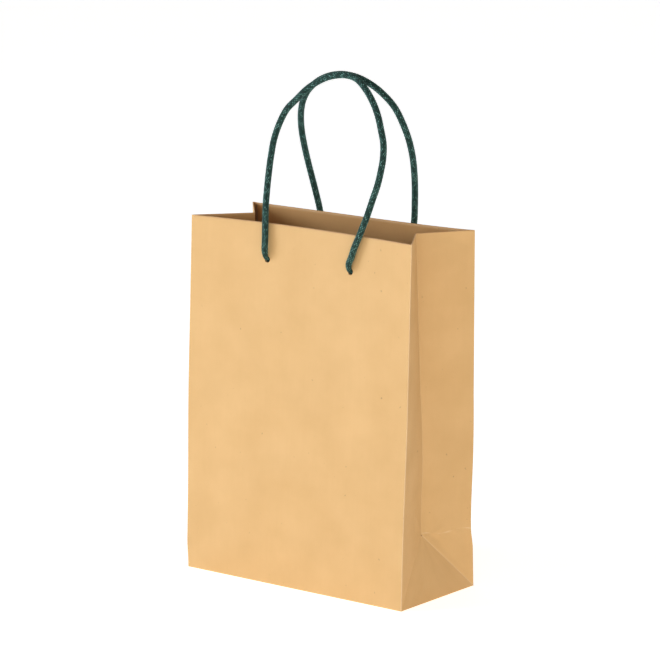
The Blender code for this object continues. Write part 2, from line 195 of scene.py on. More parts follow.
# Light: two lamps and the surround.
KEY_AZIMUTH = radians(-48)
KEY_ELEVATION = radians(20)
KEY_DISTANCE = 1.5
KEY_SIZE = 0.75
KEY_POWER = 9.5
KEY_COLOUR = (0.80, 1.00, 1.30)
FILL_AZIMUTH = radians(37)
FILL_ELEVATION = radians(5)
FILL_DISTANCE = 2.5
FILL_SIZE = 1.2
FILL_POWER = 19.0
FILL_COLOUR = (0.90, 1.00, 1.12)
SURROUND = 1.02
SURROUND_COLOUR = (1.03, 1.00, 0.98)
NEAR_SIDE_LOSS = 0.80                   # how much dimmer the surround is high up, at the near left
FAR_SIDE_LOSS = 0.66                    # the same behind the bag to the right
FAR_WAY = (0.8, 0.6)                    # the way from the near left to the far right
FLOOR_GLOW = 0.64
FLOOR_SIZE = 6.0                        # from the bag to the floor's sides
FLOOR_DROP = 0.2 * MM
CONTRAST_GAMMA = 0.87


# ---------------------------------------------------------------- camera

def direction(azimuth, elevation):
    """The way from the bag to a place, with azimuth 0 in front and growing to the right."""
    return Vector((sin(azimuth) * cos(elevation), -cos(azimuth) * cos(elevation),
                   sin(elevation)))


def add_camera():
    camera = bpy.data.objects.new("camera", bpy.data.cameras.new("camera"))
    bpy.context.scene.collection.objects.link(camera)
    back = direction(CAMERA_AZIMUTH, CAMERA_ELEVATION)
    camera.location = CAMERA_TARGET + back * CAMERA_DISTANCE
    camera.rotation_mode = "QUATERNION"
    camera.rotation_quaternion = back.to_track_quat("Z", "Y")
    camera.data.sensor_width = 36
    camera.data.lens = CAMERA_LENS
    camera.data.clip_end = 50
    bpy.context.scene.camera = camera


# ---------------------------------------------------------------- mesh tools

def smooth(t):
    """Goes from 0 to 1 while t does, and starts and ends level."""
    t = np.clip(t, 0, 1)
    return t * t * (3 - 2 * t)


def unit(vectors):
    return vectors / np.linalg.norm(vectors, axis=-1, keepdims=True)


def new_mesh(name, points, faces, uv, attributes, material):
    """A mesh object with a UV map in metres and named values on its points or faces."""
    mesh = bpy.data.meshes.new(name)
    mesh.from_pydata(points.tolist(), [], faces)
    mesh.polygons.foreach_set("use_smooth", [True] * len(mesh.polygons))
    corners = np.zeros(len(mesh.loops), np.int32)
    mesh.loops.foreach_get("vertex_index", corners)
    layer = mesh.uv_layers.new(name="paper")
    layer.data.foreach_set("uv", uv[corners].astype(np.float32).ravel())
    for title, values in attributes.items():
        domain = "POINT" if len(values) == len(points) else "FACE"
        attribute = mesh.attributes.new(title, "FLOAT", domain)
        attribute.data.foreach_set("value", np.asarray(values, np.float32))
    mesh.materials.append(material)
    piece = bpy.data.objects.new(name, mesh)
    bpy.context.scene.collection.objects.link(piece)
    return piece


def grid_faces(rows, columns, start, wrap=False):
    """Quads between the points of a grid that is stored row by row from start on."""
    faces = []
    last = columns if wrap else columns - 1
    for row in range(rows - 1):
        for column in range(last):
            after = (column + 1) % columns
            low = start + row * columns
            high = low + columns
            faces.append((low + column, low + after, high + after, high + column))
    return faces


def add_sheet(name, outer, inner, uv, crease, material, turned=0.0):
    """A closed sheet of paper between two matching grids of points.

    turned is 1 where the first grid's face looks into the bag. There, and on the whole second
    grid's face, the paper gets painted shade.
    """
    rows, columns = outer.shape[:2]
    count = rows * columns
    points = np.concatenate([outer.reshape(-1, 3), inner.reshape(-1, 3)])
    faces = grid_faces(rows, columns, 0)
    faces += [tuple(reversed(face)) for face in grid_faces(rows, columns, count)]
    broad = len(faces)
    index = np.arange(count).reshape(rows, columns)
    border = list(index[0, :]) + list(index[1:, -1]) + list(index[-1, -2::-1])
    border += list(index[-2:0:-1, 0])
    border = [int(i) for i in border]
    for here, after in zip(border, border[1:] + border[:1]):
        faces.append((after, here, here + count, after + count))
    cut = [0.0] * broad + [1.0] * (len(faces) - broad)
    turned = (turned + np.zeros((rows, columns))).ravel()
    # crease carries a painted highlight, partly wear, along folds and the rim; inside marks faces
    # that get painted shade
    attributes = {"crease": np.tile(crease.ravel(), 2), "cut": cut,
                  "inside": np.concatenate([turned, np.ones(count)])}
    uv = np.tile(uv.reshape(-1, 2), (2, 1))
    piece = new_mesh(name, points, faces, uv, attributes, material)
    builder = bmesh.new()
    builder.from_mesh(piece.data)
    bmesh.ops.recalc_face_normals(builder, faces=builder.faces)
    builder.to_mesh(piece.data)
    builder.free()
    piece.data.set_sharp_from_angle(angle=SHARP_ANGLE)
    return piece


def spread(first, last, step, fine_first=True, fine_last=True):
    """Places from first to last, about a step apart, and closer at an end that is folded."""
    fine = np.array([0, 0.2, 0.42, 0.66, 0.92, 1.3, 2.1, 3.3]) * MM
    start = first + (fine if fine_first else fine[:1])
    end = last - (fine[::-1] if fine_last else fine[:1])
    count = max(2, ceil((end[0] - start[-1]) / step))
    middle = np.linspace(start[-1], end[0], count + 1)[1:-1]
    return np.concatenate([start, middle, end])


def ripple(u, v, seed):
    """Slight unevenness of hand-folded paper, from -1 to 1."""
    total = 0 * u
    for number, length in enumerate((0.095, 0.071, 0.052, 0.037, 0.026)):
        angle = 2.4 * number + seed
        along = u * cos(angle) + v * sin(angle)
        total = total + length * np.sin(2 * pi * along / length + 1.7 * seed * (number + 1))
    return total / 0.2


def ridge(u, v, start, end, width, height):
    """A raised line in paper from start to end, all in millimetres, that dies away at both ends."""
    a = np.array(start) * MM
    b = np.array(end) * MM
    span = b - a
    t = ((u - a[0]) * span[0] + (v - a[1]) * span[1]) / span.dot(span)
    near = np.clip(t, 0, 1)
    away = np.hypot(u - a[0] - near * span[0], v - a[1] - near * span[1])
    fade = smooth(np.minimum(near, 1 - near) * 4)
    return height * MM * fade * np.exp(-(away / (width * MM)) ** 2)


# ---------------------------------------------------------------- shape of the folded paper

def panel_point(side, x, h, d):
    """A point of a big panel: x across, h up the panel, d inwards from its outer face."""
    x, h, d = np.broadcast_arrays(x, h, d)
    across = x / HALF_WIDTH
    sunk = BOW[side] * (1 - across ** 2) * (h / HEIGHT) ** 2
    room = smooth((HALF_WIDTH - np.abs(x)) / PANEL_WAVE_SIDE) * smooth(h / PANEL_WAVE_FOOT)
    room = room * (1 - CARD_CALM * smooth((h - CARD_CALM_FROM) / CARD_CALM_RISE))
    sunk = sunk + PANEL_WAVE * room * ripple(x, h, 0.6 + 0.5 * side)
    rise = smooth((h - FLARE_FOOT) / FLARE_RISE)
    corner = np.where(x < 0, FLARE[side][0], FLARE[side][1])
    y = side * (HALF_DEPTH - h * sin(LEAN) - (d + sunk) * cos(LEAN))
    near_edge = np.abs(across) ** 3
    y = y + corner * near_edge * rise
    if side == BACK:
        far_away = np.where(h > FOLD, (h - FOLD) / PINCH_ABOVE, (FOLD - h) / PINCH_BELOW)
        y = y - EDGE_PINCH * near_edge * (1 - smooth(far_away))
        late = near_edge * np.clip((h - RIM_FROM) / (HEIGHT - RIM_FROM), 0, 1) * (x > 0)
        y = y + RIM_FLARE * late
        x = x + RIM_SPREAD * late
    else:
        high_up = smooth((h - SWELL_LOSS_FROM) / (HEIGHT - SWELL_LOSS_FROM))
        swell = smooth(h / SWELL_RISE) * (1 - SWELL_LOSS * high_up)
        x = x - EDGE_SWELL * near_edge * swell * (x < 0)
    z = h * cos(LEAN) - (d + sunk) * sin(LEAN)
    return np.stack([x, y, z], axis=-1)


def gusset_frame(hand, side, h):
    """A half gusset at height h: its side crease, the way across it and the way into the bag.

    The last value is how far it is turned from facing straight out of the side.
    """
    above = np.maximum(h, APEX)
    edge = panel_point(side, hand * HALF_WIDTH, above, 0 * h)
    other = panel_point(-side, hand * HALF_WIDTH, above, 0 * h)
    half_gap = np.linalg.norm(other - edge, axis=-1) / 2
    crease = (edge + other) / 2
    inset = np.sqrt(HALF_DEPTH ** 2 - half_gap ** 2)
    if hand == LEFT:
        inset = inset + LEFT_TUCK * smooth((above - LEFT_TUCK_FROM) / LEFT_TUCK_RISE)
    crease[..., 0] = hand * (HALF_WIDTH - inset)
    across = (crease - edge) / HALF_DEPTH
    up = np.array([0, -side * sin(LEAN), cos(LEAN)])
    inward = hand * side * unit(np.cross(across, up))
    here = panel_point(side, hand * HALF_WIDTH, h, 0 * h)
    return here, across, inward, np.arctan2(inset, half_gap)


def fold_shift(away, depth, half_angle, bisector):
    """Moves points near a fold in along its bisector, so that the fold is round."""
    reach = np.maximum(FOLD_ROUND - depth / np.tan(half_angle), 1e-9)
    share = np.clip(1 - away / reach, 0, 1) ** 2
    return (reach * np.cos(half_angle) / 2 * share)[..., None] * bisector


def crease_highlight_and_wear(away):
    """How strongly a painted highlight, partly wear of the paper, lightens it at this distance from
    a crease: 1 on it, and 0 far away.
    """
    return np.exp(-(away / (0.5 * MM)) ** 2)


def foot_shift(side_inward, away):
    """Rounds the fold between an upright sheet and the base."""
    bisector = unit(np.array(side_inward) + np.array([0.0, 0.0, 1.0]))
    return fold_shift(away, 0 * away, pi / 4, bisector)


def turned_in(heights, hem_width):
    """Rows of paper that runs up outside, over the rim and down inside as the hem.

    Gives each point's height and depth and the way from its face into the paper.
    """
    radius = hem_width / 2
    rows = [(h + 0 * radius, 0 * radius, 0, 1) for h in heights]
    for angle in np.linspace(0, pi, 9):
        rows.append((HEIGHT - radius + radius * sin(angle), radius * (1 - cos(angle)),
                     -sin(angle), cos(angle)))
    for h in np.linspace(RIM_START, HEM_FOOT, 15):
        rows.append((h + 0 * radius, hem_width, 0, -1))
    height = np.array([row[0] for row in rows])
    depth = np.array([row[1] for row in rows])
    into_height = np.array([row[2] for row in rows])[:, None] * PAPER
    into_depth = np.array([row[3] for row in rows])[:, None] * PAPER
    rim = np.array([1.0 if row[2] != 0 else 0.0 for row in rows])[:, None]
    return height, depth, into_height, into_depth, rim


def panel_face(side, columns, h, d):
    """One face of a panel's sheet, with its sides drawn in and rounded to meet the gussets."""
    x = columns[None, :] + 0 * h
    away = HALF_WIDTH - np.abs(x)
    points = 0
    for hand in (LEFT, RIGHT):
        _, across, _, fold = gusset_frame(hand, side, h)
        half_angle = (pi / 2 - fold) / 2
        mine = (np.sign(x) == hand) | ((x == 0) & (hand == RIGHT))
        draw_in = d / np.tan(half_angle) * smooth(1 - away / MITRE_REACH)
        bisector = unit(across + np.array([-hand, 0.0, 0.0]))
        place = panel_point(side, x - hand * draw_in, h, d)
        place = place + fold_shift(away, d, half_angle, bisector)
        points = points + np.where(mine[..., None], place, 0)
    return points + foot_shift((0, -side, 0), np.maximum(h, 0))


def widened(grid):
    """The grid with its first and last columns repeated."""
    return np.concatenate([grid[:, :1], grid, grid[:, -1:]], axis=1)


def tucked(grid, hand, side, h, d, depth):
    """Adds a strip beyond a gusset's edge, behind the panel, so that no slit opens there."""
    grid = widened(grid)[:, :-1]
    share = smooth((h[:, 0] - TUCK_FROM) / TUCK_RISE) * (d[:, 0] == 0)
    behind = panel_point(side, hand * (HALF_WIDTH - EDGE_TUCK), h[:, 0], depth)
    grid[:, 0] += (behind - grid[:, 0]) * share[:, None]
    grid[:, 0, 0] -= hand * 0.02 * MM
    return grid


def build_panel(side, material):
    columns = spread(-HALF_WIDTH, HALF_WIDTH, 2.2 * MM)
    heights = spread(0, RIM_START, 2.4 * MM, fine_last=False)
    if side == BACK:
        heights = np.concatenate([spread(0, FOLD, 2.4 * MM),
                                  spread(FOLD, RIM_START, 2.4 * MM, fine_last=False)[1:]])
    thin = smooth((np.abs(columns) - CARD_EDGE - 0.2 * MM) / (2.4 * MM))[None, :]
    hem_width = HEM_OVER_CARD + (HEM_ON_PAPER - HEM_OVER_CARD) * thin[0]
    h, d, into_h, into_d, rim = turned_in(heights, hem_width)
    outer = panel_face(side, columns, h, d)
    inner = panel_face(side, columns, h + into_h, d + into_d)
    x = columns[None, :] + 0 * h
    # Painted highlight, partly wear: the side creases, rim, base fold and the back's cross crease
    # are lightened
    crease = np.maximum(0.9 * crease_highlight_and_wear(HALF_WIDTH - np.abs(x)), 0.6 * rim)
    crease = np.maximum(crease, 0.7 * crease_highlight_and_wear(h))
    if side == BACK:
        shift = CREASE_BULGE * np.exp(-((h - FOLD) / CREASE_BULGE_REACH) ** 2) * (d == 0)
        shift = (shift * smooth((HALF_WIDTH - np.abs(x)) / (30 * MM)))[..., None]
        outer = outer + shift * np.array([0, side, 0])
        inner = inner + shift * np.array([0, side, 0])
        crease = np.maximum(crease, 0.9 * crease_highlight_and_wear(h - FOLD) * (d == 0))
    along = np.where(d > 0, 2 * HEIGHT - h, h)
    uv = np.stack([x + 3 * side * HALF_WIDTH, along], axis=-1)
    piece = add_sheet(f"{SIDE_NAME[side]}_sheet", outer, inner, uv, crease, material, d > 0)
    punch_holes(piece, side)
    return piece


def build_card(side, material):
    """The stiff card between a panel and its hem."""
    columns = spread(-CARD_EDGE, CARD_EDGE, 6 * MM, fine_first=False, fine_last=False)[None, :]
    low, high = (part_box("back_card")[end].z / cos(LEAN) for end in (0, 1))
    heights = spread(low, high, 6 * MM, fine_first=False, fine_last=False)[:, None]
    outer = panel_point(side, columns, heights, PAPER + 0.25 * MM)
    inner = panel_point(side, columns, heights, HEM_OVER_CARD - PAPER - 0.25 * MM)
    uv = np.stack([columns + 0 * heights, heights + 0 * columns], axis=-1)
    card = add_sheet(f"{SIDE_NAME[side]}_card_sheet", outer, inner, uv, 0 * uv[..., 0], material)
    punch_holes(card, side)
    return card


def gusset_relief(hand, side, a, far, h):
    """How far a half gusset's paper stands out: folds, dents and slight waves."""
    room = smooth(a / (12 * MM)) * smooth(far / (12 * MM)) * smooth((h - 20 * MM) / (30 * MM))
    out = GUSSET_WAVE * room * ripple(a, h, 2.1 + hand + 0.5 * side)
    if side == BACK:
        fall = smooth(a / (6 * MM)) * smooth(far / (6 * MM))
        out = out - GUSSET_DENT * fall * np.clip(1 - np.abs(h - FOLD) / GUSSET_DENT_REACH, 0, 1)
    for start, end, width, height in GUSSET_RIDGES[side]:
        out = out + ridge(a, h, start, end, width, height)
    return out * smooth(far / (2 * MM)) * (h < HEIGHT - 1 * MM)


def gusset_width(h):
    """A half gusset narrows to a point below its apex, where the triangle takes over."""
    return HALF_DEPTH * np.minimum(h / APEX, 1)


def gusset_face(hand, side, columns, h, d):
    """One face of a half gusset, between its side crease and its centre or slanting crease."""
    edge, across, inward, fold = gusset_frame(hand, side, h)
    width = gusset_width(h)
    a = columns[None, :] * width
    half_angle = (pi / 2 - fold) / 2
    far = width - a
    reach_in = smooth(1 - a / MITRE_REACH) * d / np.tan(half_angle)
    reach_out = smooth(1 - far / MITRE_REACH) * d * np.tan(fold) * (h > APEX)
    relief = gusset_relief(hand, side, a, far, h)
    foot, top = (panel_point(side, hand * HALF_WIDTH, level + 0 * h, 0 * h) for level in (0, APEX))
    strayed = np.where((h < APEX)[..., None], edge - foot - (top - foot) * (h / APEX)[..., None], 0)
    points = edge + across * (a + reach_in + reach_out)[..., None] - strayed * columns[:, None]
    points = points + inward * (d - relief)[..., None]
    bisector = unit(across + np.array([-hand, 0.0, 0.0]))
    points = points + fold_shift(a, d, half_angle, bisector)
    outwards = np.array([hand, 0.0, 0.0])
    points = points + fold_shift(far, 0 * d, pi / 2 - fold, outwards) * (h > APEX)[..., None]
    return points + foot_shift((0, -side, 0), h)


def build_gusset_half(hand, side, material):
    columns = spread(0, HALF_DEPTH, 2.0 * MM) / HALF_DEPTH
    heights = np.concatenate([spread(0.3 * MM, APEX, 2.2 * MM, fine_first=False),
                              spread(APEX, RIM_START, 2.4 * MM, fine_last=False)[1:]])
    hem_width = HEM_ON_PAPER + 0 * columns
    h, d, into_h, into_d, rim = turned_in(heights, hem_width)
    outer = gusset_face(hand, side, columns, h, d)
    inner = gusset_face(hand, side, columns, h + into_h, d + into_d)
    a = columns[None, :] * gusset_width(h)
    far = gusset_width(h) - a
    slanting = 0.50 if side == BACK else 0.12
    # Painted highlight, partly wear: the gusset's creases, its rim and the back's cross crease are
    # lightened
    crease = np.maximum(0.9 * crease_highlight_and_wear(a), np.where(h > APEX, 0.25, slanting) * crease_highlight_and_wear(far))
    crease = np.maximum(crease, 0.6 * rim)
    if side == BACK:
        wander = 0.9 * MM * np.sin(a / (5 * MM)) + (a / HALF_DEPTH) * 1.2 * MM
        patchy = 0.32 + 0.22 * np.sin(a / (2.9 * MM) + 1) + 0.12 * np.sin(a / (1.3 * MM))
        crease = np.maximum(crease, patchy * crease_highlight_and_wear(h - FOLD - wander) * (d == 0))
    along = np.where(d > 0, 2 * HEIGHT - h, h)
    uv = np.stack([hand * (5 * HALF_WIDTH - side * a), along], axis=-1)
    outer = tucked(outer, hand, side, h, d, PAPER + 0.1 * MM)
    inner = tucked(inner, hand, side, h, d, 2 * PAPER + 0.1 * MM)
    uv, crease, turned = (widened(grid)[:, :-1] for grid in (uv, crease, d > 0))
    name = f"{HAND_NAME[hand]}_gusset_{SIDE_NAME[side]}_sheet"
    return add_sheet(name, outer, inner, uv, crease, material, turned)


def build_triangle(hand, material):
    """The triangle that stands on a short side of the base between its two slanting creases."""
    apex_height = np.array([[APEX]])
    edge, across, _, _ = gusset_frame(hand, BACK, apex_height)
    apex = (edge + across * HALF_DEPTH)[0, 0]
    front = np.array([hand * HALF_WIDTH, -HALF_DEPTH, 0])
    back = np.array([hand * HALF_WIDTH, HALF_DEPTH, 0])
    rows = spread(0, FOLD, 2.2 * MM, fine_last=False)[:-1] / FOLD
    t = np.append(rows, 0.985)[:, None]
    c = np.linspace(0, 1, 41)[None, :]
    low = front + (back - front) * c[..., None]
    outer = low + (apex - low) * t[..., None]
    away = HALF_DEPTH * (1 - np.abs(2 * c - 1)) * (1 - t)
    u, v = c * 2 * HALF_DEPTH, t * FOLD
    bulge = TRIANGLE_WAVE * smooth(away / (10 * MM)) * ripple(u, v, 4.0 + hand)
    for start, end, width, height in TRIANGLE_RIDGES:
        bulge = bulge + ridge(u, v, start, end, width, height)
    lift = unit(np.array([-hand * apex[2], 0, -(HALF_WIDTH - abs(apex[0]))]))
    shift = foot_shift((-hand, 0, 0), t * FOLD)
    outer = outer - lift * bulge[..., None] + shift
    inner = outer + lift * PAPER
    thick = np.array([0, PAPER, 0])
    inner[:, 0] += thick
    inner[:, -1] -= thick
    turn = lift * EDGE_TURN * np.minimum(t * FOLD / (1.2 * MM), 1)[:, None]
    outer, inner = widened(outer), widened(inner)
    for grid in (outer, inner):
        grid[:, 0] += turn[:, 0]
        grid[:, -1] += turn[:, 0]
    # Painted highlight, partly wear: the slanting creases and the foot are lightened
    slanting = np.where(c < 0.5, 0.12, 0.50) * crease_highlight_and_wear(away * 0.7)
    crease = np.maximum(slanting, 0.7 * crease_highlight_and_wear(t * FOLD + 0 * c))
    uv = np.stack([hand * (5 * HALF_WIDTH) + (c - 0.5) * 2 * HALF_DEPTH + 0 * t,
                   t * FOLD + 0 * c], axis=-1)
    return add_sheet(f"{HAND_NAME[hand]}_triangle_sheet", outer, inner, widened(uv),
                     widened(crease), material)


def build_flap(name, fold_ends, far_ends, lift, inward, material):
    """A flap of the base, from its fold to its cut edge. It rises by lift over what is under it."""
    length = abs(np.dot(np.array(far_ends[0]) - np.array(fold_ends[0]), inward))
    c = np.linspace(0, 1, 49)[None, :, None]
    t = (spread(0, length, 2.5 * MM, fine_last=False) / length)[:, None, None]
    near = np.array(fold_ends[0]) * (1 - c) + np.array(fold_ends[1]) * c
    far = np.array(far_ends[0]) * (1 - c) + np.array(far_ends[1]) * c
    flat = near * (1 - t) + far * t
    away = (t * length + 0 * c)[..., 0]
    height = lift * smooth(away / (0.45 * length))
    outer = np.concatenate([flat, height[..., None]], axis=-1)
    outer = outer + foot_shift((inward[0], inward[1], 0), away)
    inner = outer + np.array([0, 0, PAPER])
    # Painted highlight, partly wear, along the flap's fold
    return add_sheet(name, outer, inner, flat, 0.7 * crease_highlight_and_wear(away), material)


def build_seam(name, low, high, depth, material):
    """The glued seam of the bag, on the inside of the back panel near its right edge."""
    heights = spread(low, high, 4 * MM, fine_first=False, fine_last=False)[:, None]
    columns = np.linspace(SEAM_EDGE - SEAM_WIDTH, SEAM_EDGE, 9)[None, :]
    sink = depth - 0.25 * MM * smooth((columns - SEAM_EDGE + 3 * MM) / (3 * MM))
    outer = panel_point(BACK, columns, heights, sink + PAPER)
    inner = panel_point(BACK, columns, heights, sink)
    uv = np.stack([columns + 0 * heights + 9 * HALF_WIDTH, heights + 0 * columns], axis=-1)
    return add_sheet(name, outer, inner, uv, 0 * uv[..., 0], material)


# ---------------------------------------------------------------- holes and cords

def hole_places(side):
    """The centre of each cord hole on the panel's outer face, in line with its knot."""
    knots = [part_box(f"{SIDE_NAME[side]}_{name}_knot") for name in ("left", "right")]
    places = []
    for box in knots:
        x = (box[0].x + box[1].x) / 2
        places.append(panel_point(side, np.array(x), np.array(HEIGHT - HOLE_DROP), 0.0))
    return places


def outward(side):
    """The way straight out of a big panel."""
    return np.array([0, side * cos(LEAN), sin(LEAN)])


def punch_holes(piece, side):
    """Cut the cord holes through the outer paper and the hem behind it."""
    for number, place in enumerate(hole_places(side)):
        builder = bmesh.new()
        bmesh.ops.create_cone(builder, cap_ends=True, segments=40, radius1=HOLE_RADIUS,
                              radius2=HOLE_RADIUS, depth=9 * MM)
        turn = Vector((0, 0, 1)).rotation_difference(Vector(outward(side))).to_matrix()
        bmesh.ops.transform(builder, matrix=Matrix.Translation(Vector(place)) @ turn.to_4x4(),
                            verts=builder.verts)
        mesh = bpy.data.meshes.new("cutter")
        builder.to_mesh(mesh)
        builder.free()
        cutter = bpy.data.objects.new("cutter", mesh)
        bpy.context.scene.collection.objects.link(cutter)
        cut = piece.modifiers.new("hole", "BOOLEAN")
        cut.operation = "DIFFERENCE"
        cut.solver = "EXACT"
        cut.object = cutter
        bpy.context.view_layer.update()
        graph = bpy.context.evaluated_depsgraph_get()
        done = bpy.data.meshes.new_from_object(piece.evaluated_get(graph))
        piece.modifiers.clear()
        piece.data = done
        bpy.data.objects.remove(cutter)
    piece.data.set_sharp_from_angle(angle=SHARP_ANGLE)


def curve_through(points, step):
    """Points a step apart on a Catmull-Rom curve through the given points."""
    points = np.array(points)
    ends = np.concatenate([[2 * points[0] - points[1]], points, [2 * points[-1] - points[-2]]])
    t = np.linspace(0, 1, 40, endpoint=False)[:, None]
    dense = []
    for a, b, c, d in zip(ends, ends[1:], ends[2:], ends[3:]):
        dense.append(0.5 * (2 * b + (c - a) * t + (2 * a - 5 * b + 4 * c - d) * t ** 2
                            + (3 * b - a - 3 * c + d) * t ** 3))
    dense = np.concatenate(dense + [points[-1:]])
    lengths = np.concatenate([[0], np.cumsum(np.linalg.norm(np.diff(dense, axis=0), axis=1))])
    places = np.linspace(0, lengths[-1], ceil(lengths[-1] / step) + 1)
    return np.stack([np.interp(places, lengths, dense[:, i]) for i in range(3)], axis=-1)


def braid_height(angle, along):
    """A plaited surface: its height, 0 in gaps and 1 on crowns; the way across a strand; a tint.

    The tint is a chance value from 0 to 1 for each crown.
    """
    turn = STRANDS * angle / (2 * pi)
    climb = STRANDS * along / STRAND_LEAD
    a = turn + climb
    b = turn - climb
    across_a = a - np.floor(a) - 0.5
    across_b = b - np.floor(b) - 0.5
    over_a = np.cos(pi * (b - 0.5)) * np.where(np.floor(a) % 2 == 0, 1, -1)
    over_b = -np.cos(pi * (a - 0.5)) * np.where(np.floor(b) % 2 == 0, 1, -1)
    height_a = 0.62 * np.sqrt(1 - 3.6 * across_a ** 2) + 0.38 * over_a
    height_b = 0.62 * np.sqrt(1 - 3.6 * across_b ** 2) + 0.38 * over_b
    top = np.maximum(height_a, height_b)
    across = np.where(height_a > height_b, across_a, across_b)
    row = (np.floor(a) + np.floor(b)) % TINT_ROWS
    column = np.floor(a) - np.floor(b) + TINT_FIRST
    chance = np.random.default_rng(TINT_SEED).random((TINT_ROWS, TINT_COLUMNS))
    return np.clip(top, 0, 1), across, chance[row.astype(int), column.astype(int)]


def braided_tube(name, path, thickness, material):
    """A braided cord along a path. thickness is its diameter at each point of the path."""
    count = len(path)
    tangent = unit(np.gradient(path, axis=0))
    normal = np.cross(tangent[0], [0.3, 1.0, 0.2])
    normals = []
    for way in tangent:
        normal = normal - way * normal.dot(way)
        normal = normal / np.linalg.norm(normal)
        normals.append(normal)
    normals = np.array(normals)
    sideways = np.cross(tangent, normals)
    angle = np.linspace(0, 2 * pi, CORD_SIDES, endpoint=False)[None, :]
    along = (np.arange(count) * CORD_STEP)[:, None]
    height, across, tint = braid_height(angle, along)
    radius = thickness[:, None] / 2 - BRAID_RELIEF * (1 - height) + 0.05 * MM
    cosine, sine = np.cos(angle)[..., None], np.sin(angle)[..., None]
    ring = normals[:, None] * cosine + sideways[:, None] * sine
    points = path[:, None] + ring * radius[..., None]
    points = np.concatenate([points.reshape(-1, 3), [path[0]], [path[-1]]])
    faces = grid_faces(count, CORD_SIDES, 0, wrap=True)
    last = (count - 1) * CORD_SIDES
    for i in range(CORD_SIDES):
        after = (i + 1) % CORD_SIDES
        faces.append((after, i, count * CORD_SIDES))
        faces.append((last + i, last + after, count * CORD_SIDES + 1))
    uv = np.stack([along + 0 * angle, angle * CORD / 2 + 0 * along], axis=-1).reshape(-1, 2)
    uv = np.concatenate([uv, [[0, 0], [0, 0]]])
    attributes = {"relief": np.concatenate([height.ravel(), [0.2, 0.2]]),
                  "strand": np.concatenate([across.ravel(), [0, 0]]),
                  "tint": np.concatenate([tint.ravel(), [0, 0]])}
    return new_mesh(name, points, faces, uv, attributes, material)


def tapered(path, holes):
    """The cord's diameter along its path: it is squeezed where it goes through a hole."""
    thickness = np.full(len(path), CORD_DRAWN)
    for place in holes:
        away = np.linalg.norm(path - place, axis=1)
        thickness = thickness * (1 - HOLE_SQUEEZE * np.exp(-(away / SQUEEZE_REACH) ** 2))
    return thickness


def build_handle(side, material):
    """One handle loop, from inside its left hole to inside its right one."""
    name = SIDE_NAME[side]
    out = outward(side)
    up = np.array([0, 0, 1.0])
    left = np.array([-1.0, 0, 0])
    holes = hole_places(side)
    route = [np.array(point) * MM for point in ROUTES[side]]
    feet = [[hole + out * forth * MM + up * rise * MM + left * aside * MM
             for forth, rise, aside in HANDLE_FOOT] for hole in holes]
    points = feet[0] + route + feet[1][::-1]
    path = curve_through(points, CORD_STEP)
    piece = braided_tube(f"{name}_handle", path, tapered(path, holes), material)
    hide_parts(f"{name}_handle_cord")
    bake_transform(piece)


def build_knot(side, number, material):
    """An overhand knot behind a hole, with its cut tail hanging down."""
    name = f"{SIDE_NAME[side]}_{('left', 'right')[number]}_knot"
    hole = hole_places(side)[number]
    x = np.array([1.0, 0, 0])
    up = np.array([0, 0, 1.0])
    deep = -outward(side)

    def place(sideways, rise, depth):
        return hole + (x * sideways + up * rise + deep * depth) * MM

    points = [place(0, -0.4, 2.6), place(-0.6, -2.2, 4.4), place(-3.4, -5.8, 4.6),
              place(-6.2, -7.4, 4.8)]
    for t in np.linspace(-1.98, 1.98, 15):
        points.append(place(1.75 * (t ** 3 - 3 * t), -5 - 1.6 * (t ** 4 - 4 * t ** 2),
                            8.2 + 0.23 * (t ** 5 - 10 * t)))
    points += [place(4.8, -8.5, 11), place(5.2, -13, 11.2), place(4.6, -18.5, 10.6)]
    path = curve_through(points, CORD_STEP)
    thickness = np.full(len(path), CORD_IN_KNOT)
    piece = braided_tube(f"{name}_cord", path, thickness, material)
    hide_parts(name)
    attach(piece, SIDE_NAME[side])


# ---------------------------------------------------------------- materials

